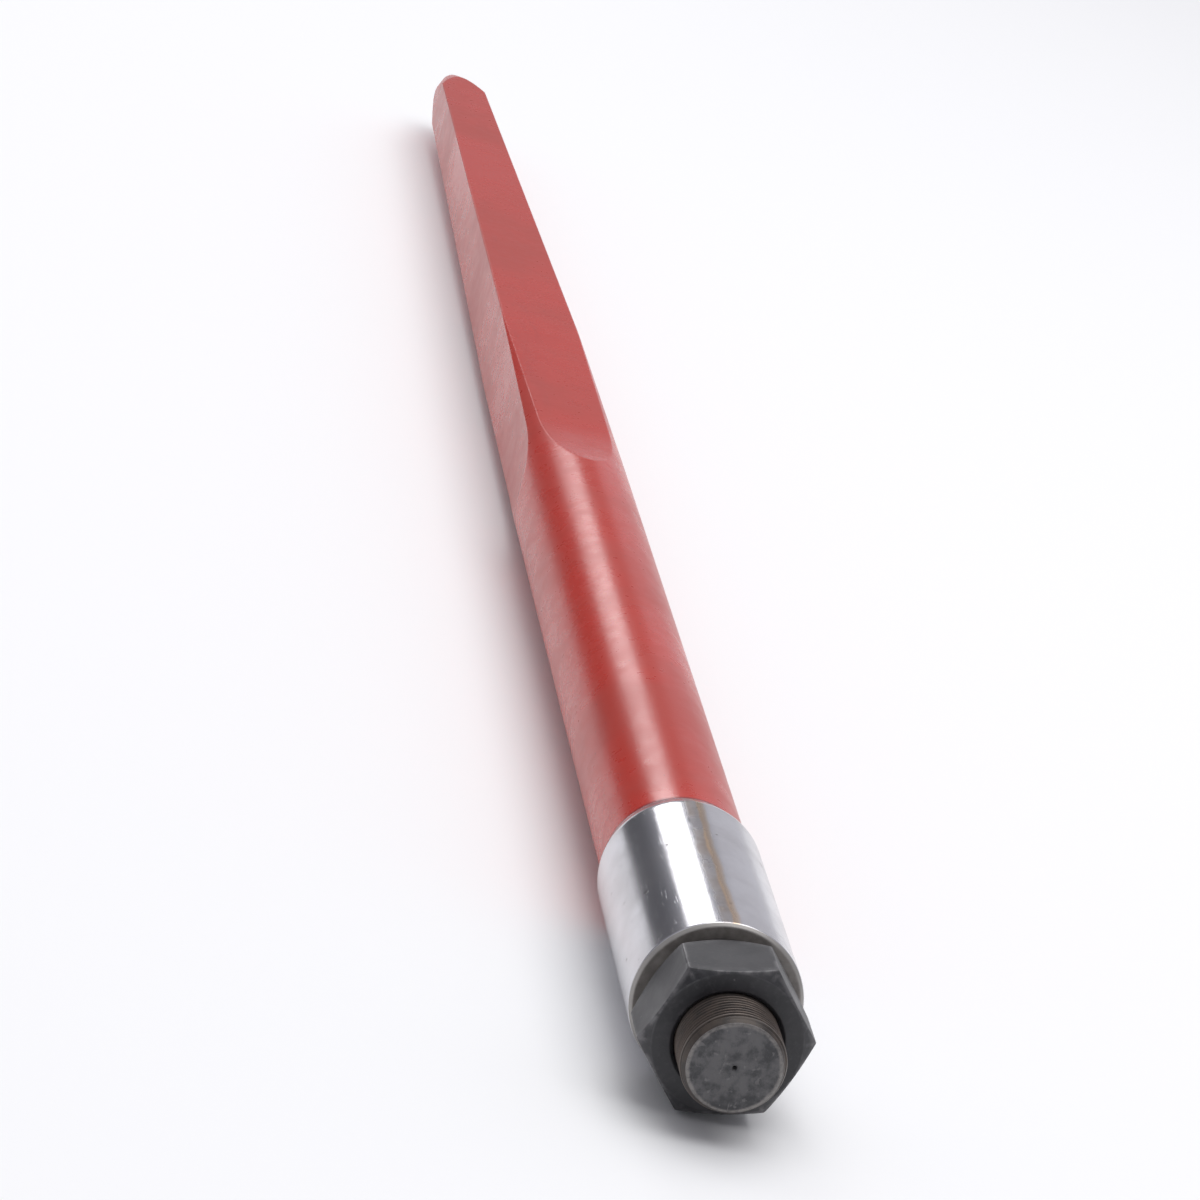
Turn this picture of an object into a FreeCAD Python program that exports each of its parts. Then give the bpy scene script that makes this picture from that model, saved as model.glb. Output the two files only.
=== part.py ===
"""Bale spear for a front loader: one forged and turned steel bar, held by one hex nut.

Row frame, millimetres. +X runs along the bar from the thread to the tip and +Z is up.
The origin is on the axis, half way along the machined seat. The four flats of the taper
face +Y, -Y, +Z and -Z, so the spear lies as drawn, on its seat and one flat.
"""
import FreeCAD
import Part
import math
import os

from FreeCAD import Vector

# Overall length of the bar, thread included.
OVERALL_LENGTH = 1100.0

# Threaded stub behind the shoulder, drawn at the crest of its M28 x 1.5 thread, with a
# tapered lead at its end.
STUB_LENGTH = 38.5
THREAD_D = 28.0
LEAD_DEPTH = 1.5
LEAD_LENGTH = 2.3
CENTRE_MARK_D = 2.5
CENTRE_MARK_ANGLE = 60.0

# Machined seat that the loader's sleeve closes on, and its flare down to the bar.
SEAT_D = 47.0
SEAT_LENGTH = 85.0
SEAT_CHAMFER = 1.0
FLARE_LENGTH = 7.5

# Round bar, painted from the flare to the tip.
BAR_D = 42.5

# Four forged flats. They taper evenly from TAPER_START, measured from the shoulder, to the
# foot of the nose, and run out into the round bar along an arc.
TAPER_START = 460.0
TAPER_ROOT_ACROSS = 33.4
TAPER_TIP_ACROSS = 20.0
RUNOUT_RADIUS = 400.0
FLAT_COUNT = 4

# Turned point: a cone that ends in a blunt domed nose.
CONE_HALF_ANGLE = 11.0
NOSE_D = 10.8
NOSE_HEIGHT = 4.2

# Hex nut, screwed up to the shoulder, with a turned collar on its seating face.
NUT_ACROSS_FLATS = 41.0
NUT_HEIGHT = 24.0
NUT_ROLL = -10.0
COLLAR_D = 38.6
COLLAR_HEIGHT = 2.5
FAR_CHAMFER_ANGLE = 45.0
NEAR_CHAMFER_ANGLE = 30.0
NEAR_FACE_D = 40.0
THREAD_CLEARANCE = 0.15
COUNTERSINK = 1.0

# How far a cutting solid reaches past what it cuts.
CUT_MARGIN = 5.0

# Stations along X.
SHOULDER_X = -SEAT_LENGTH / 2
FLARE_X = SHOULDER_X + SEAT_LENGTH
BAR_X = FLARE_X + FLARE_LENGTH
STUB_END_X = SHOULDER_X - STUB_LENGTH
TIP_X = STUB_END_X + OVERALL_LENGTH
NOSE_X = TIP_X - NOSE_HEIGHT
CONE_X = NOSE_X - (BAR_D - NOSE_D) / 2 / math.tan(math.radians(CONE_HALF_ANGLE))
TAPER_X = SHOULDER_X + TAPER_START
NUT_FACE_X = SHOULDER_X - NUT_HEIGHT

AXIS_POINT = Vector(0, 0, 0)
AXIS = Vector(1, 0, 0)


def at(x, radius):
    """A point of a profile: station x, distance from the axis."""
    return Vector(x, 0, radius)


def line(start, end):
    return Part.LineSegment(start, end).toShape()


def chain(points):
    """Straight edges through the points, in order."""
    return [line(start, end) for start, end in zip(points, points[1:])]


def turned(edges):
    """The solid that a closed profile sweeps out around the axis."""
    return Part.Face(Part.Wire(edges)).revolve(AXIS_POINT, AXIS, 360)


def nose_arc():
    """The dome of the nose, from the end of the cone to the tip."""
    base_r = NOSE_D / 2
    dome_r = (base_r**2 + NOSE_HEIGHT**2) / (2 * NOSE_HEIGHT)
    centre_x = TIP_X - dome_r
    half_turn = math.atan2(base_r, NOSE_X - centre_x) / 2
    middle = at(centre_x + dome_r * math.cos(half_turn), dome_r * math.sin(half_turn))
    return Part.Arc(at(NOSE_X, base_r), middle, at(TIP_X, 0)).toShape()


def turned_bar():
    """The bar as it leaves the lathe: stub, shoulder, seat, flare, round bar, cone and nose."""
    mark_r = CENTRE_MARK_D / 2
    mark_depth = mark_r / math.tan(math.radians(CENTRE_MARK_ANGLE / 2))
    thread_r = THREAD_D / 2
    seat_r = SEAT_D / 2
    bar_r = BAR_D / 2
    outline = [
        at(STUB_END_X + mark_depth, 0),
        at(STUB_END_X, mark_r),
        at(STUB_END_X, thread_r - LEAD_DEPTH),
        at(STUB_END_X + LEAD_LENGTH, thread_r),
        at(SHOULDER_X, thread_r),
        at(SHOULDER_X, seat_r - SEAT_CHAMFER),
        at(SHOULDER_X + SEAT_CHAMFER, seat_r),
        at(FLARE_X, seat_r),
        at(BAR_X, bar_r),
        at(CONE_X, bar_r),
        at(NOSE_X, NOSE_D / 2),
    ]
    closing = line(at(TIP_X, 0), outline[0])
    return turned(chain(outline) + [nose_arc(), closing])


def flat_cutter():
    """What forging takes off above one flat: the straight taper and its arc run-out."""
    root = at(TAPER_X, TAPER_ROOT_ACROSS / 2)
    foot = at(NOSE_X, TAPER_TIP_ACROSS / 2)
    run = foot - root
    end = root + run * ((TIP_X + CUT_MARGIN - TAPER_X) / run.x)
    normal = Vector(-run.z, 0, run.x).normalize()
    centre = root + normal * RUNOUT_RADIUS
    top_z = BAR_D / 2 + CUT_MARGIN
    slope = math.atan2(-normal.x, normal.z)
    sweep = math.acos((centre.z - top_z) / RUNOUT_RADIUS) - slope

    def on_arc(share):
        angle = slope + sweep * share
        return centre - Vector(math.sin(angle), 0, math.cos(angle)) * RUNOUT_RADIUS

    arc = Part.Arc(on_arc(1), on_arc(0.5), root).toShape()
    rest = chain([root, end, at(end.x, top_z), on_arc(1)])
    face = Part.Face(Part.Wire([arc] + rest))
    half_width = BAR_D / 2 + CUT_MARGIN
    face.translate(Vector(0, -half_width, 0))
    return face.extrude(Vector(0, 2 * half_width, 0))


def spear():
    """The whole bar, with its flats patterned around the axis."""
    shape = turned_bar()
    for index in range(FLAT_COUNT):
        cutter = flat_cutter()
        cutter.rotate(AXIS_POINT, AXIS, index * 360 / FLAT_COUNT)
        shape = shape.cut(cutter)
    return shape


def hex_prism():
    """The wrench flats, as long as the nut."""
    corner_r = NUT_ACROSS_FLATS / 2 / math.cos(math.radians(30))
    corners = []
    for index in range(7):
        angle = math.radians(NUT_ROLL + 60 * index)
        corners.append(Vector(NUT_FACE_X, corner_r * math.cos(angle), corner_r * math.sin(angle)))
    return Part.Face(Part.Wire(chain(corners))).extrude(AXIS * NUT_HEIGHT)


def nut_envelope():
    """The turned outside of the nut: collar, chamfer behind the flats, chamfer in front."""
    collar_r = COLLAR_D / 2
    face_r = NEAR_FACE_D / 2
    outer_r = NUT_ACROSS_FLATS / 2 / math.cos(math.radians(30)) + CUT_MARGIN
    collar_x = SHOULDER_X - COLLAR_HEIGHT
    far_run = (outer_r - collar_r) * math.tan(math.radians(FAR_CHAMFER_ANGLE))
    near_run = (outer_r - face_r) * math.tan(math.radians(NEAR_CHAMFER_ANGLE))
    outline = [
        at(SHOULDER_X, 0),
        at(SHOULDER_X, collar_r),
        at(collar_x, collar_r),
        at(collar_x - far_run, outer_r),
        at(NUT_FACE_X + near_run, outer_r),
        at(NUT_FACE_X, face_r),
        at(NUT_FACE_X, 0),
        at(SHOULDER_X, 0),
    ]
    return turned(chain(outline))


def nut_bore():
    """The threaded hole at its crest, countersunk at both faces."""
    bore_r = THREAD_D / 2 + THREAD_CLEARANCE
    mouth_r = bore_r + COUNTERSINK
    outline = [
        at(SHOULDER_X, 0),
        at(SHOULDER_X, mouth_r),
        at(SHOULDER_X - COUNTERSINK, bore_r),
        at(NUT_FACE_X + COUNTERSINK, bore_r),
        at(NUT_FACE_X, mouth_r),
        at(NUT_FACE_X, 0),
        at(SHOULDER_X, 0),
    ]
    return turned(chain(outline))


def hex_nut():
    return hex_prism().common(nut_envelope()).cut(nut_bore())


def main():
    os.makedirs("parts", exist_ok=True)
    for name, build in (("spear", spear), ("hex_nut", hex_nut)):
        shape = build()
        solid = shape.Solids[0]
        print(name, "solids", len(shape.Solids), "valid", solid.isValid(), "cm3", solid.Volume / 1000)
        solid.exportStep("parts/" + name + ".step")


main()
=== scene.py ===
"""Bale spear, dressed for looks: detailed meshes, materials, floor, light and camera."""
import math

import bpy
from mathutils import Matrix, Vector

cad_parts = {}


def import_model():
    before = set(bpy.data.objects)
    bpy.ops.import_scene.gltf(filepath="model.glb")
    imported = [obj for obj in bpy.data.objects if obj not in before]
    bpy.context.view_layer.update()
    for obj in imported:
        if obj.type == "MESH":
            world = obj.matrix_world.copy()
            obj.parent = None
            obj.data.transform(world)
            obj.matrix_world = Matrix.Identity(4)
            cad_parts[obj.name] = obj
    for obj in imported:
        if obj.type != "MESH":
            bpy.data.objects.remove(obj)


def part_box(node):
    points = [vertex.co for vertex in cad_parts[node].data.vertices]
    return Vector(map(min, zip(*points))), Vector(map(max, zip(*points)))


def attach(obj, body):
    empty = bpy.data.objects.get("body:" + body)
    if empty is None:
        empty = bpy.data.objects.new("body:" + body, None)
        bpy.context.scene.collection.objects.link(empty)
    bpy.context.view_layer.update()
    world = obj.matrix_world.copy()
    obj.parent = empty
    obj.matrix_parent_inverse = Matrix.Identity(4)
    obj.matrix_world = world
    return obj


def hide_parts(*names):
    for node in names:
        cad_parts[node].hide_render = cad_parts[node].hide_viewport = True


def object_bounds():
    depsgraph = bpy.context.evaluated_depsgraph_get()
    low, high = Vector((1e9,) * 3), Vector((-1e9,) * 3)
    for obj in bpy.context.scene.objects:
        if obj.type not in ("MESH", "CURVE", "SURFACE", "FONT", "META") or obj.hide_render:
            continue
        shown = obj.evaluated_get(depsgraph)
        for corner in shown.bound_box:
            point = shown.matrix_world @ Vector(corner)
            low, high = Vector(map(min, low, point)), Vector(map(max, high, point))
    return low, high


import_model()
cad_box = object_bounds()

MM = 0.001

# Stations along X, in millimetres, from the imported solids.
SPEAR_LOW, SPEAR_HIGH = [[v / MM for v in corner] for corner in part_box("spear")]
NUT_LOW, NUT_HIGH = [[v / MM for v in corner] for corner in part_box("hex_nut")]
STUB_END_X = SPEAR_LOW[0]
TIP_X = SPEAR_HIGH[0]
NUT_FACE_X = NUT_LOW[0]
SHOULDER_X = NUT_HIGH[0]

# Sizes of the bar, in millimetres.
THREAD_R = 14.0
THREAD_PITCH = 1.5
THREAD_DEPTH = 0.8
LEAD_R = 12.5
LEAD_LENGTH = 2.3
MARK_R = 0.75
MARK_DEPTH = 1.3
SEAT_R = SPEAR_HIGH[2]
SEAT_LENGTH = 85.0
SEAT_CHAMFER = 1.0
FLARE_LENGTH = 7.5
BAR_R = 21.25
TAPER_X = SHOULDER_X + 460.0
TAPER_ROOT = 16.7
TAPER_TIP = 10.0
RUNOUT_RADIUS = 400.0
CONE_HALF_ANGLE = math.radians(11.0)
NOSE_R = 5.4
NOSE_HEIGHT = 4.2

FLARE_X = SHOULDER_X + SEAT_LENGTH
BAR_X = FLARE_X + FLARE_LENGTH
NOSE_X = TIP_X - NOSE_HEIGHT
CONE_X = NOSE_X - (BAR_R - NOSE_R) / math.tan(CONE_HALF_ANGLE)

# Sizes of the nut, in millimetres.
NUT_APOTHEM = 20.5
NUT_ROLL = math.radians(-10.0)
NUT_BORE_R = 14.15
NUT_MOUTH_R = 15.15
COUNTERSINK = 1.0
NEAR_FACE_R = 20.0
NEAR_CHAMFER = math.tan(math.radians(30.0))
COLLAR_R = 19.3
COLLAR_X = SHOULDER_X - 2.5
NUT_CORNER_R = NUT_APOTHEM / math.cos(math.radians(30.0))
BORE_MIDDLE_X = -55.0

THREAD_RUNOUT_X = NUT_FACE_X + 3.4
UNWORN = 9.0

DEG = math.pi / 180
OCTANT = 24
FLAT_COLUMNS = 14


# ---------------------------------------------------------------- meshes

def soft_min(a, b, blend):
    return min(a, b) - max(blend - abs(a - b), 0.0) ** 2 / (4 * blend)


def ease(low, high, value):
    t = min(max((value - low) / (high - low), 0.0), 1.0)
    return t * t * (3 - 2 * t)


def flat_distance(x):
    """Distance of the forged flats from the axis, or None where there are none."""
    run_x, run_r = NOSE_X - TAPER_X, TAPER_TIP - TAPER_ROOT
    if x >= TAPER_X:
        return TAPER_ROOT + run_r * (x - TAPER_X) / run_x
    length = math.hypot(run_x, run_r)
    centre_x = TAPER_X - run_r / length * RUNOUT_RADIUS
    centre_r = TAPER_ROOT + run_x / length * RUNOUT_RADIUS
    if x < centre_x - 90:
        return None
    return centre_r - math.sqrt(RUNOUT_RADIUS ** 2 - (x - centre_x) ** 2)


def crease(x, radius):
    """Angle from a flat's middle at which the mesh keeps a column, so that the edge of the
    flat runs along the columns."""
    even = 45 * DEG * FLAT_COLUMNS / OCTANT
    least = 2.5 * DEG
    most = 42.6 * DEG
    flat = flat_distance(x)
    if flat is not None and flat < radius:
        return min(max(math.acos(flat / radius), least), most)
    if x < TAPER_X:
        return even + (least - even) * ease(220, 340, x)
    return least + (even - least) * ease(NOSE_X - 24, NOSE_X - 6, x)


def column_angles(x, radius):
    """Angles of the columns around the bar at a station."""
    edge = crease(x, radius)
    step = 0.007
    near, far = min(step, edge / 3), min(step, (45 * DEG - edge) / 3)
    half = [(edge - near) * i / (FLAT_COLUMNS - 1) for i in range(FLAT_COLUMNS)] + [edge]
    rest = OCTANT - FLAT_COLUMNS - 1
    half += [edge + far + (45 * DEG - edge - far) * i / rest for i in range(rest + 1)]
    angles = []
    for quarter in range(4):
        start = 90 * DEG * quarter
        angles += [start + a for a in half[:-1]]
        angles += [start + 90 * DEG - a for a in reversed(half[1:])]
    return angles


def bar_radius(x, turned, angle):
    """Radius of the bar at a station and angle, given its turned radius there."""
    flat = flat_distance(x)
    if flat is None or flat > turned + 0.5:
        return turned
    off = (angle + 45 * DEG) % (90 * DEG) - 45 * DEG
    one = flat / math.cos(off)
    two = flat / math.cos(90 * DEG - abs(off)) if abs(off) > 0.01 else 10 * flat
    return soft_min(soft_min(one, two, 1.0), turned, 0.06)


def thread_radius(x, turned, angle):
    """Radius of the stub at a station and angle: a right-hand helix under the crest."""
    phase = (x / THREAD_PITCH - angle / (2 * math.pi)) % 1.0
    rise = abs(phase - 0.5) * 2
    groove = min(max((0.86 - rise) / 0.62, 0.0), 1.0)
    groove = groove * groove * (3 - 2 * groove) * 0.35 + groove * 0.65
    fade = 1 - ease(NUT_FACE_X + 2.0, NUT_FACE_X + 3.2, x)
    return min(turned, THREAD_R - THREAD_DEPTH * groove * fade)


def softened(corners):
    """A profile with its corners eased. Each corner is (x, r, softness, steps to the next)."""
    points = []
    for i, (x, r, soft, steps) in enumerate(corners):
        before = corners[i - 1] if i else None
        after = corners[i + 1] if i + 1 < len(corners) else None
        if soft and before and after:
            for other, shares in ((before, (2.2, 1.0)), (after, (1.0, 2.2))):
                gap = math.hypot(other[0] - x, other[1] - r)
                reach = min(soft, gap * 0.2)
                for share in shares:
                    t = reach * share / gap
                    points.append((x + (other[0] - x) * t, r + (other[1] - r) * t))
        else:
            points.append((x, r))
        if after:
            start = points[-1]
            gap = math.hypot(after[0] - x, after[1] - r)
            end_share = min(after[2], gap * 0.2) * 2.2 / gap
            end = (after[0] + (x - after[0]) * end_share, after[1] + (r - after[1]) * end_share)
            for k in range(1, steps):
                t = k / steps
                points.append((start[0] + (end[0] - start[0]) * t, start[1] + (end[1] - start[1]) * t))
    return points


def ring_mesh(name, rings, zones, materials, closed=False, worn=None):
    """A mesh from rings of points. A ring of one point closes an end."""
    verts, starts = [], []
    for ring in rings:
        starts.append(len(verts))
        verts += ring
    faces, face_zones = [], []
    pairs = list(zip(range(len(rings) - 1), range(1, len(rings))))
    if closed:
        pairs.append((len(rings) - 1, 0))
    for low, high in pairs:
        a, b = starts[low], starts[high]
        n, m = len(rings[low]), len(rings[high])
        count = max(n, m)
        for i in range(count):
            j = (i + 1) % count
            if n == 1:
                faces.append((a, b + i, b + j))
            elif m == 1:
                faces.append((a + j, a + i, b))
            else:
                faces.append((a + i, b + i, b + j, a + j))
            face_zones.append(zones[low])
    mesh = bpy.data.meshes.new(name)
    mesh.from_pydata([Vector(v) * MM for v in verts], [], faces)
    for material in materials:
        mesh.materials.append(material)
    mesh.polygons.foreach_set("material_index", face_zones)
    mesh.polygons.foreach_set("use_smooth", [True] * len(faces))
    if worn:
        mesh.attributes.new("worn", "FLOAT", "POINT").data.foreach_set("value", worn)
    mesh.update()
    obj = bpy.data.objects.new(name, mesh)
    bpy.context.scene.collection.objects.link(obj)
    return obj


def spaced(start, end, step):
    """Stations from start up to, but not including, end."""
    count = max(1, round((end - start) / step))
    return [start + (end - start) * i / count for i in range(count)]


END, THREAD, SHOULDER, SEAT, PAINT = range(5)


def build_spear(materials):
    rows = []

    def add(points, zone, shape):
        rows.extend((x, r, zone, shape) for x, r in points)

    # The end of the stub, with its centre mark.
    add(softened([
        (STUB_END_X + MARK_DEPTH, 0.0, 0, 4),
        (STUB_END_X, MARK_R, 0.12, 9),
        (STUB_END_X, LEAD_R, 0.0, 1)])[:-1], END, None)
    add([(STUB_END_X + 0.02, LEAD_R - 0.32), (STUB_END_X + 0.1, LEAD_R - 0.12)], END, None)
    lead = spaced(STUB_END_X + 0.3, STUB_END_X + LEAD_LENGTH, 0.17)
    slope = (THREAD_R - LEAD_R) / LEAD_LENGTH
    add([(x, LEAD_R + (x - STUB_END_X) * slope) for x in lead], THREAD, thread_radius)
    crest = spaced(STUB_END_X + LEAD_LENGTH, THREAD_RUNOUT_X, 0.18)
    add([(x, THREAD_R) for x in crest], THREAD, thread_radius)
    # Inside the nut, up to the shoulder, and out to the seat.
    add([(x, THREAD_R) for x in spaced(THREAD_RUNOUT_X, SHOULDER_X, 7.0)], THREAD, None)
    add(softened([
        (SHOULDER_X, THREAD_R, 0, 5),
        (SHOULDER_X, SEAT_R - SEAT_CHAMFER, 0.18, 1),
        (SHOULDER_X + SEAT_CHAMFER, SEAT_R, 0.2, 40),
        (FLARE_X, SEAT_R, 0.6, 5),
        (BAR_X, BAR_R, 0.0, 1)])[:-1], SEAT, None)
    # Painted bar: round, the flats' run-out, the taper and the cone.
    for start, end, step in (
            (BAR_X, BAR_X + 2, 0.5), (BAR_X + 2, 200, 11), (200, 340, 8), (340, 360, 4), (360, 374, 0.55),
            (374, TAPER_X, 1.5), (TAPER_X, 470, 4), (470, 560, 7), (560, 580, 3), (580, CONE_X, 10),
            (CONE_X, CONE_X + 27, 3), (CONE_X + 27, CONE_X + 58, 0.7), (CONE_X + 58, NOSE_X - 1.5, 1.3)):
        for x in spaced(start, end, step):
            turned = min(BAR_R, NOSE_R + (NOSE_X - x) * math.tan(CONE_HALF_ANGLE))
            add([(x, turned)], PAINT, bar_radius)
    # Blunt nose, eased into the cone.
    dome_r = (NOSE_R ** 2 + NOSE_HEIGHT ** 2) / (2 * NOSE_HEIGHT)
    centre_x = TIP_X - dome_r
    base = math.atan2(NOSE_R, NOSE_X - centre_x)
    for k in range(1, 16):
        angle = base * (1 - k / 15.5)
        add([(centre_x + dome_r * math.cos(angle), dome_r * math.sin(angle))], PAINT, None)
    add([(TIP_X, 0.0)], PAINT, None)
    # The corner between cone and dome, cut by two rows.
    at = next(i for i, row in enumerate(rows) if row[0] > NOSE_X)
    rows[at:at] = [(NOSE_X - 0.9, NOSE_R + 0.9 * math.tan(CONE_HALF_ANGLE) - 0.02, PAINT, None),
                   (NOSE_X - 0.3, NOSE_R + 0.3 * math.tan(CONE_HALF_ANGLE) - 0.07, PAINT, None)]

    rings, zones = [], []
    for x, radius, zone, shape in rows:
        if radius == 0.0:
            rings.append([(x, 0.0, 0.0)])
        else:
            ring = []
            for angle in column_angles(x, radius):
                r = shape(x, radius, angle) if shape else radius
                ring.append((x, r * math.cos(angle), r * math.sin(angle)))
            rings.append(ring)
        zones.append(zone)
    # The flat shoulder face has a finish of its own.
    for i, (x, radius, zone, shape) in enumerate(rows):
        if zone == SEAT and x < SHOULDER_X + SEAT_CHAMFER - 0.15:
            zones[i] = SHOULDER
    return ring_mesh("spear_bar", rings, zones, materials)


def nut_wear(columns, angles):
    """How far each vertex is rubbed bare: along the six edges and around both chamfers."""
    wear = []
    for row in range(len(columns[0])):
        for column, angle in zip(columns, angles):
            x, r = column[row]
            off = abs((angle - NUT_ROLL) % (60 * DEG) - 30 * DEG)
            flat = NUT_APOTHEM / math.cos(off)
            near = far = side = rim = mouth = UNWORN
            if r > NEAR_FACE_R + 0.1:
                near = abs(x - (NUT_FACE_X + (flat - NEAR_FACE_R) * NEAR_CHAMFER))
            if r > COLLAR_R + 0.3:
                far = abs(x - (COLLAR_X - (flat - COLLAR_R)))
            if r > NEAR_FACE_R + 0.3 and NUT_FACE_X + 0.3 < x < COLLAR_X - 1:
                side = flat * (30 * DEG - off)
            if x < NUT_FACE_X + 0.2:
                rim = abs(r - NEAR_FACE_R) * 4
                mouth = abs(r - NUT_MOUTH_R) * 5
            wear.append(1 - ease(0.1, 0.75, min(near, far, side * 0.8, rim, mouth)))
    return wear


def build_nut(materials):
    """The nut, column by column, so that each chamfer's edge curves as on the real one."""
    shares = (0, .09, .18, .27, .36, .45, .54, .63, .72, .80, .87, .92, .955, .975, .988, 1.0)
    half = [30 * DEG * t for t in shares]
    angles = []
    for side in range(6):
        middle = NUT_ROLL + 30 * DEG + 60 * DEG * side
        angles += [middle - a for a in reversed(half[1:])]
        angles += [middle + a for a in half[:-1]]
    oxide, machined = 0, 1
    columns = []
    for angle in angles:
        off = (angle - NUT_ROLL) % (60 * DEG) - 30 * DEG
        one = NUT_APOTHEM / math.cos(off)
        two = NUT_APOTHEM / math.cos(60 * DEG - abs(off))
        hexagon = soft_min(one, two, 0.45)
        near_x = NUT_FACE_X + (hexagon - NEAR_FACE_R) * NEAR_CHAMFER
        far_x = COLLAR_X - (hexagon - COLLAR_R)
        columns.append(softened([
            (BORE_MIDDLE_X, NUT_BORE_R, 0, 1),
            (NUT_FACE_X + COUNTERSINK, NUT_BORE_R, 0.1, 2),
            (NUT_FACE_X, NUT_MOUTH_R, 0.12, 5),
            (NUT_FACE_X, NEAR_FACE_R, 0.15, 2),
            (near_x, hexagon, 0.22, 8),
            (far_x, hexagon, 0.22, 3),
            (COLLAR_X, COLLAR_R, 0.12, 2),
            (SHOULDER_X - 0.03, COLLAR_R, 0.2, 2),
            (SHOULDER_X - 0.03, NUT_MOUTH_R, 0.1, 1),
            (SHOULDER_X - COUNTERSINK, NUT_BORE_R, 0, 1)]))
    count = len(columns[0])
    rings = [[(col[row][0], col[row][1] * math.cos(a), col[row][1] * math.sin(a))
              for col, a in zip(columns, angles)] for row in range(count)]
    # Rows of one profile: the same for every column, so the first tells them apart.
    corner = next(a for a, col in zip(angles, columns) if abs((a - NUT_ROLL) % (60 * DEG)) < 1e-6)
    reference = columns[angles.index(corner)]
    back_x = COLLAR_X - (NUT_CORNER_R - COLLAR_R) - 0.3
    back = [row for row in range(count) if reference[row][0] > back_x]
    zones = [machined if row >= min(back) else oxide for row in range(count)]
    return ring_mesh("nut_hexagon", rings, zones, materials, closed=True, worn=nut_wear(columns, angles))


# ---------------------------------------------------------------- materials

class Nodes:
    """Small helper to write node trees briefly."""

    def __init__(self, name):
        self.material = bpy.data.materials.new(name)
        self.material.use_nodes = True
        self.tree = self.material.node_tree
        self.shader = self.tree.nodes["Principled BSDF"]
        self.place = self.new("ShaderNodeTexCoord").outputs["Object"]
        split = self.new("ShaderNodeSeparateXYZ")
        self.link(self.place, split.inputs[0])
        self.x, self.y, self.z = split.outputs

    def new(self, kind, **settings):
        node = self.tree.nodes.new(kind)
        for key, value in settings.items():
            setattr(node, key, value)
        return node

    def link(self, source, target):
        self.tree.links.new(source, target)

    def feed(self, socket, value):
        if isinstance(value, bpy.types.NodeSocket):
            self.link(value, socket)
        else:
            socket.default_value = value

    def math(self, operation, a, b=0.0, clamp=False):
        node = self.new("ShaderNodeMath", operation=operation, use_clamp=clamp)
        self.feed(node.inputs[0], a)
        self.feed(node.inputs[1], b)
        return node.outputs[0]

    def stretch(self, scale):
        node = self.new("ShaderNodeMapping")
        node.inputs["Scale"].default_value = scale
        self.link(self.place, node.inputs["Vector"])
        return node.outputs[0]

    def noise(self, scale, detail=3.0, rough=0.55, vector=None, distortion=0.0):
        node = self.new("ShaderNodeTexNoise")
        node.inputs["Scale"].default_value = scale
        node.inputs["Detail"].default_value = detail
        node.inputs["Roughness"].default_value = rough
        node.inputs["Distortion"].default_value = distortion
        self.link(vector if vector is not None else self.place, node.inputs["Vector"])
        return node.outputs["Fac"]

    def band(self, value, low, high, to_low=0.0, to_high=1.0, smooth=True):
        node = self.new("ShaderNodeMapRange", interpolation_type="SMOOTHSTEP" if smooth else "LINEAR")
        self.feed(node.inputs["Value"], value)
        for key, number in (("From Min", low), ("From Max", high), ("To Min", to_low), ("To Max", to_high)):
            node.inputs[key].default_value = number
        return node.outputs[0]

    def mix(self, share, a, b):
        node = self.new("ShaderNodeMix", data_type="RGBA")
        self.feed(node.inputs[0], share)
        self.feed(node.inputs[6], a if isinstance(a, bpy.types.NodeSocket) else (*a, 1.0))
        self.feed(node.inputs[7], b if isinstance(b, bpy.types.NodeSocket) else (*b, 1.0))
        return node.outputs[2]

    def radius(self):
        squares = [self.math("MULTIPLY", side, side) for side in (self.y, self.z)]
        return self.math("SQRT", self.math("ADD", *squares))

    def angle(self):
        return self.math("ARCTAN2", self.z, self.y)

    def bump(self, *layers):
        normal = None
        for height, distance in layers:
            node = self.new("ShaderNodeBump")
            node.inputs["Distance"].default_value = distance
            self.link(height, node.inputs["Height"])
            if normal is not None:
                self.link(normal, node.inputs["Normal"])
            normal = node.outputs[0]
        self.link(normal, self.shader.inputs["Normal"])

    def finish(self, **values):
        for key, value in values.items():
            name = key.replace("_", " ")
            if isinstance(value, tuple):
                value = (*value, 1.0)
            self.feed(self.shader.inputs[name], value)
        return self.material


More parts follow.
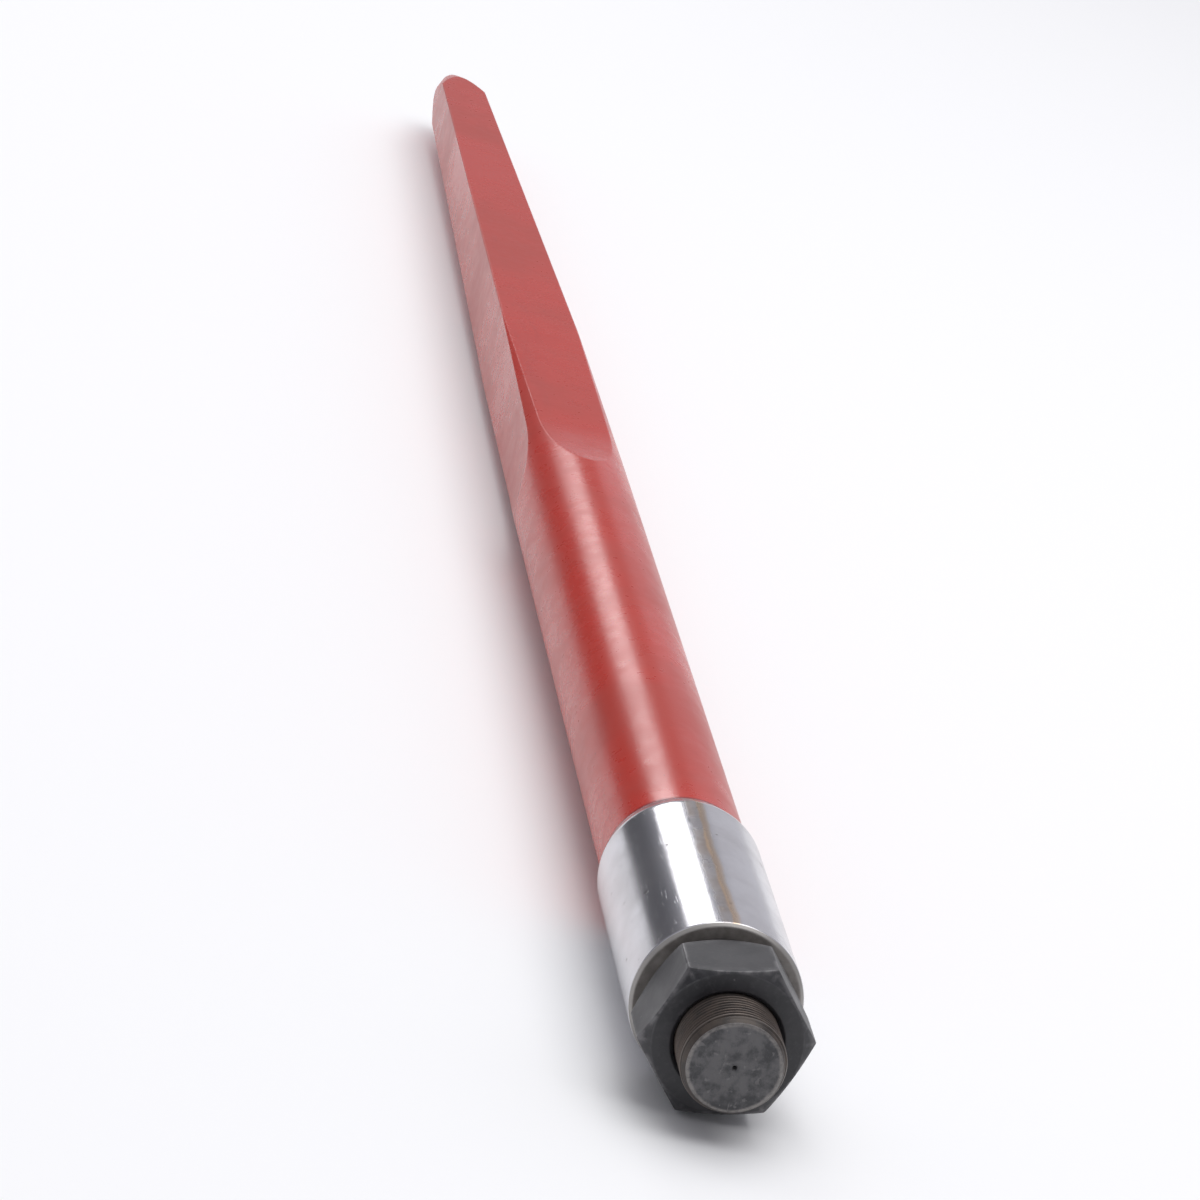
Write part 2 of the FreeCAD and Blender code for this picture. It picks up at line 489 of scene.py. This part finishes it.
def paint_material():
    """Semi-gloss red enamel over forged steel, worn through at the nose."""
    n = Nodes("red_paint")
    cloud = n.noise(13, 4, 0.6)
    mottle = n.noise(150, 3, 0.6)
    streak = n.noise(70, 4, 0.6, n.stretch((0.1, 1, 1)))
    colour = n.mix(n.band(cloud, 0.36, 0.66), (0.50, 0.022, 0.009), (0.42, 0.025, 0.011))
    colour = n.mix(n.band(streak, 0.52, 0.78, 0, 0.35), colour, (0.33, 0.022, 0.014))
    colour = n.mix(n.band(mottle, 0.58, 0.8, 0, 0.25), colour, (0.36, 0.03, 0.02))
    specks = n.band(n.noise(820, 1, 0.3), 0.765, 0.80)
    colour = n.mix(n.math("MULTIPLY", specks, 0.55), colour, (0.13, 0.012, 0.012))
    # Thicker, darker rim where the paint stops.
    uneven_x = n.math("ADD", n.x, n.math("MULTIPLY", mottle, 0.0006))
    rim = n.band(uneven_x, (BAR_X + 0.9) * MM, (BAR_X + 1.7) * MM, 0.85, 0.0)
    colour = n.mix(rim, colour, (0.20, 0.008, 0.008))
    # Bare steel at the nose: a ragged patch, a little off the axis.
    shift = n.new("ShaderNodeVectorMath", operation="DISTANCE")
    n.link(n.place, shift.inputs[0])
    shift.inputs[1].default_value = ((TIP_X + 0.6) * MM, -0.0016, -0.0022)
    ragged = n.noise(520, 4, 0.65)
    reach = n.math("ADD", shift.outputs["Value"], n.math("MULTIPLY", n.math("SUBTRACT", ragged, 0.5), 0.006))
    bare = n.band(reach, 0.0042, 0.0047, 1.0, 0.0)
    grit = n.noise(1400, 3, 0.6)
    steel = n.mix(n.band(grit, 0.35, 0.65), (0.12, 0.11, 0.115), (0.42, 0.40, 0.42))
    colour = n.mix(bare, colour, steel)
    blend = n.math("ADD", n.math("MULTIPLY", cloud, 0.6), n.math("MULTIPLY", mottle, 0.4))
    rough = n.band(blend, 0.35, 0.65, 0.24, 0.34)
    rough = n.math("ADD", rough, n.math("MULTIPLY", bare, 0.16))
    peel = n.noise(820, 2, 0.5)
    forged = n.noise(34, 3, 0.5)
    depth = n.math("MULTIPLY", bare, n.math("ADD", grit, -1.6))
    n.bump((peel, 0.00002), (forged, 0.00012), (depth, 0.00022))
    return n.finish(Base_Color=colour, Metallic=n.math("MULTIPLY", bare, 0.9), Roughness=rough)


def steel_material():
    """Turned and polished seat: fine rings, faint dents, a brown stain along the top."""
    n = Nodes("seat_steel")
    haze = n.noise(42, 4, 0.6)
    fine = n.noise(420, 3, 0.6)
    rings = n.noise(1.0, 3, 0.7, n.stretch((2600, 30, 30)))
    scratches = n.band(n.noise(1.0, 2, 0.5, n.stretch((160, 1500, 1500)), 0.6), 0.66, 0.72)
    colour = n.mix(n.band(haze, 0.35, 0.7), (0.62, 0.615, 0.645), (0.52, 0.51, 0.53))
    # Stain: a streak at one angle, broken up along its length.
    swing = n.math("ADD", n.angle(), n.math("MULTIPLY", n.math("SUBTRACT", n.noise(30, 3), 0.5), 0.22))
    streak = n.math("MULTIPLY", n.band(swing, 1.32, 1.38), n.band(swing, 1.47, 1.55, 1.0, 0.0))
    streak = n.math("MULTIPLY", streak, n.band(n.noise(55, 3, 0.6), 0.35, 0.6, 0.35, 1.0))
    edge = n.math("MULTIPLY", n.band(swing, 1.46, 1.5), n.band(swing, 1.53, 1.6, 1.0, 0.0))
    colour = n.mix(n.math("MULTIPLY", streak, 0.75), colour, (0.20, 0.145, 0.11))
    colour = n.mix(n.math("MULTIPLY", edge, 0.55), colour, (0.62, 0.40, 0.20))
    # Sparse pits and dents.
    pits = n.band(n.noise(330, 1, 0.3), 0.75, 0.79)
    dents = n.band(n.noise(130, 1, 0.3), 0.70, 0.80)
    colour = n.mix(n.math("MULTIPLY", pits, 0.7), colour, (0.14, 0.12, 0.11))
    # Red overspray next to the paint.
    near_paint = n.band(n.x, (BAR_X - 3.5) * MM, BAR_X * MM, 0.0, 0.75)
    spray = n.math("MULTIPLY", near_paint, n.band(fine, 0.45, 0.62))
    colour = n.mix(spray, colour, (0.40, 0.06, 0.06))
    rough = n.band(haze, 0.3, 0.7, 0.15, 0.23)
    rough = n.math("ADD", rough, n.math("MULTIPLY", n.math("ADD", streak, spray), 0.22))
    n.bump((rings, 0.000006), (fine, 0.000005), (pits, -0.00004), (dents, -0.00005), (scratches, -0.00001))
    return n.finish(Base_Color=colour, Metallic=1.0, Roughness=rough)


def thread_material():
    """Oily brown-black thread with its crests rubbed lighter, brighter towards the end."""
    n = Nodes("thread_steel")
    r = n.radius()
    grime = n.noise(260, 4, 0.65)
    around = n.noise(1.0, 3, 0.6, n.stretch((900, 120, 120)))
    crest = n.band(r, (THREAD_R - 0.34) * MM, (THREAD_R - 0.04) * MM)
    crest = n.math("MULTIPLY", crest, n.band(around, 0.3, 0.65, 0.25, 1.0))
    tip = n.band(n.x, (STUB_END_X + 1.2) * MM, (STUB_END_X + 4.5) * MM, 1.0, 0.0)
    colour = n.mix(n.band(grime, 0.35, 0.65), (0.030, 0.024, 0.021), (0.060, 0.045, 0.036))
    colour = n.mix(crest, colour, (0.120, 0.095, 0.082))
    colour = n.mix(n.math("MULTIPLY", n.math("MULTIPLY", crest, tip), 0.8), colour, (0.30, 0.27, 0.25))
    n.bump((grime, 0.00004), (around, 0.00003))
    metal = n.band(crest, 0, 1, 0.25, 0.75)
    return n.finish(Base_Color=colour, Metallic=metal, Roughness=n.band(grime, 0.3, 0.7, 0.34, 0.5))


def end_material():
    """Sawn and faced end of the stub: mottled grey, light specks, a rubbed rim."""
    n = Nodes("stub_end")
    r = n.radius()
    mottle = n.noise(230, 5, 0.65)
    fine = n.noise(900, 3, 0.6)
    specks = n.band(n.noise(520, 2, 0.4), 0.64, 0.70)
    nicks = n.band(n.noise(1.0, 2, 0.5, n.stretch((100, 1300, 220)), 0.8), 0.68, 0.74)
    colour = n.mix(n.band(mottle, 0.36, 0.64), (0.050, 0.050, 0.053), (0.125, 0.122, 0.125))
    colour = n.mix(n.math("MULTIPLY", specks, 0.3), colour, (0.26, 0.25, 0.25))
    colour = n.mix(n.math("MULTIPLY", nicks, 0.45), colour, (0.24, 0.23, 0.23))
    wobble = n.math("ADD", r, n.math("MULTIPLY", n.math("SUBTRACT", mottle, 0.5), 0.0012))
    rim = n.band(wobble, (LEAD_R - 1.1) * MM, (LEAD_R - 0.35) * MM)
    colour = n.mix(n.math("MULTIPLY", rim, n.band(fine, 0.3, 0.6, 0.4, 0.9)), colour, (0.24, 0.225, 0.215))
    n.bump((mottle, 0.00012), (fine, 0.00004), (specks, 0.00005), (nicks, -0.00006))
    return n.finish(Base_Color=colour, Metallic=0.55, Roughness=n.band(mottle, 0.3, 0.7, 0.36, 0.52))


def shoulder_material():
    """Faced shoulder, dulled brown-grey, its colour raised as painted light against the shade under the nut,
    with a painted highlight on the chamfer.
    """
    n = Nodes("shoulder_steel")
    r = n.radius()
    grime = n.noise(210, 4, 0.6)
    rings = n.noise(1.0, 2, 0.6, n.stretch((1, 1, 1)))
    # Painted highlight: the chamfer's bright edge is painted as a lighter ring.
    painted_chamfer_highlight = n.band(r, (SEAT_R - 1.25) * MM, (SEAT_R - 0.75) * MM)
    # Painted light: both base colours are raised to stand in for light that the crevice under the nut shades
    # off.
    colour = n.mix(n.band(grime, 0.35, 0.65), (0.200, 0.185, 0.175), (0.290, 0.270, 0.255))
    colour = n.mix(n.math("MULTIPLY", painted_chamfer_highlight, 0.8), colour, (0.38, 0.365, 0.35))
    n.bump((grime, 0.00004), (rings, 0.00001))
    return n.finish(Base_Color=colour, Metallic=0.5, Roughness=n.band(grime, 0.3, 0.7, 0.36, 0.48))


def oxide_material():
    """Black oxide, satin, rubbed light along the edges."""
    n = Nodes("black_oxide")
    worn = n.new("ShaderNodeAttribute", attribute_name="worn").outputs["Fac"]
    cloud = n.noise(95, 4, 0.6)
    fine = n.noise(760, 3, 0.6)
    nicks = n.band(n.noise(420, 1, 0.3), 0.76, 0.80)
    colour = n.mix(n.band(cloud, 0.35, 0.68), (0.020, 0.020, 0.023), (0.042, 0.041, 0.045))
    colour = n.mix(n.band(fine, 0.5, 0.75, 0, 0.35), colour, (0.065, 0.063, 0.066))
    rub = n.math("MULTIPLY", worn, n.band(n.noise(240, 4, 0.65), 0.36, 0.62, 0.15, 1.0), clamp=True)
    colour = n.mix(rub, colour, (0.17, 0.165, 0.17))
    colour = n.mix(n.math("MULTIPLY", nicks, 0.4), colour, (0.20, 0.19, 0.19))
    n.bump((cloud, 0.00006), (fine, 0.000025), (nicks, -0.00006))
    metal = n.math("MULTIPLY", rub, 0.7)
    return n.finish(Base_Color=colour, Metallic=metal, Roughness=n.band(cloud, 0.3, 0.7, 0.36, 0.50))


def machined_material():
    """Turned back of the nut: the chamfer and collar, thinly oxidised."""
    n = Nodes("nut_machined")
    worn = n.new("ShaderNodeAttribute", attribute_name="worn").outputs["Fac"]
    grime = n.noise(170, 4, 0.6)
    turned = n.noise(1.0, 2, 0.6, n.stretch((2400, 60, 60)))
    colour = n.mix(n.band(grime, 0.35, 0.65), (0.070, 0.066, 0.064), (0.130, 0.122, 0.116))
    colour = n.mix(n.math("MULTIPLY", worn, 0.6, clamp=True), colour, (0.24, 0.23, 0.225))
    n.bump((grime, 0.00003), (turned, 0.00001))
    return n.finish(Base_Color=colour, Metallic=0.65, Roughness=n.band(grime, 0.3, 0.7, 0.30, 0.42))


spear = build_spear([
    end_material(), thread_material(), shoulder_material(), steel_material(), paint_material()])
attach(spear, "root")
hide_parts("spear")

nut = build_nut([oxide_material(), machined_material()])
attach(nut, "root")
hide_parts("hex_nut")


# ---------------------------------------------------------------- floor, light, camera

def floor():
    size = 30.0
    z = cad_box[0][2]
    mesh = bpy.data.meshes.new("floor")
    corners = [(-size, -size, z), (size, -size, z), (size, size, z), (-size, size, z)]
    mesh.from_pydata(corners, [], [(0, 1, 2, 3)])
    obj = bpy.data.objects.new("floor", mesh)
    bpy.context.scene.collection.objects.link(obj)
    n = Nodes("floor")
    mesh.materials.append(n.finish(Base_Color=(0.92, 0.92, 0.925), Roughness=0.9))


def world():
    """Plain studio: grey all round, lighter overhead and to the right, darker by the softbox."""
    scene_world = bpy.data.worlds.new("studio")
    bpy.context.scene.world = scene_world
    scene_world.use_nodes = True
    tree = scene_world.node_tree
    background = tree.nodes["Background"]
    way = tree.nodes.new("ShaderNodeTexCoord").outputs["Generated"]

    def toward(azimuth, elevation, outer, inner):
        dot = tree.nodes.new("ShaderNodeVectorMath")
        dot.operation = "DOT_PRODUCT"
        tree.links.new(way, dot.inputs[0])
        turn, rise = azimuth * DEG, elevation * DEG
        flat = math.cos(rise)
        dot.inputs[1].default_value = (flat * math.cos(turn), flat * math.sin(turn), math.sin(rise))
        share = tree.nodes.new("ShaderNodeMapRange")
        share.interpolation_type = "SMOOTHSTEP"
        tree.links.new(dot.outputs["Value"], share.inputs["Value"])
        share.inputs["From Min"].default_value = math.cos(outer * DEG)
        share.inputs["From Max"].default_value = math.cos(inner * DEG)
        return share.outputs[0]

    def shade(share, under, colour):
        mix = tree.nodes.new("ShaderNodeMix")
        mix.data_type = "RGBA"
        tree.links.new(share, mix.inputs[0])
        if isinstance(under, tuple):
            mix.inputs[6].default_value = (*under, 1)
        else:
            tree.links.new(under, mix.inputs[6])
        mix.inputs[7].default_value = (*colour, 1)
        return mix.outputs[2]

    colour = shade(toward(0, 90, 60, 20), (0.38, 0.38, 0.415), (0.75, 0.75, 0.78))
    colour = shade(toward(180, 10, 75, 30), colour, (0.26, 0.26, 0.28))
    colour = shade(toward(-38, 14, 42, 20), colour, (0.66, 0.655, 0.70))
    colour = shade(toward(24, 2, 22, 7), colour, (0.12, 0.12, 0.13))
    colour = shade(toward(-7, 17, 8, 3.5), colour, (0.22, 0.215, 0.22))
    tree.links.new(colour, background.inputs["Color"])


def lamp(name, place, target, width, height, power, colour=(1, 1, 1)):
    data = bpy.data.lights.new(name, "AREA")
    data.shape = "RECTANGLE"
    data.size, data.size_y = width, height
    data.energy = power
    data.color = colour
    obj = bpy.data.objects.new(name, data)
    bpy.context.scene.collection.objects.link(obj)
    obj.location = place
    direction = Vector(target) - Vector(place)
    obj.rotation_euler = direction.to_track_quat("-Z", "Y").to_euler()


def camera():
    data = bpy.data.cameras.new("camera")
    data.sensor_width = 36.0
    data.lens = 134.7
    obj = bpy.data.objects.new("camera", data)
    bpy.context.scene.collection.objects.link(obj)
    place = Vector((-1.1150, 0.2583, 0.4522))
    forward = (Vector((0.2750, 0.0, 0.0)) - place).normalized()
    level = forward.cross(Vector((0, 0, 1))).normalized()
    upright = level.cross(forward)
    roll = 15.33 * DEG
    right = level * math.cos(roll) + upright * math.sin(roll)
    up = right.cross(forward)
    obj.matrix_world = Matrix.Translation(place) @ Matrix((right, up, -forward)).transposed().to_4x4()
    bpy.context.scene.camera = obj


floor()
world()
lamp("softbox", (2.7, 0.38, 1.22), (0, 0, 0), 0.7, 0.7, 7.0)
lamp("overhead", (0.2, -0.4, 2.6), (0.1, 0, 0), 3.2, 2.4, 50.0)
camera()
bpy.context.scene.view_settings.view_transform = "Standard"
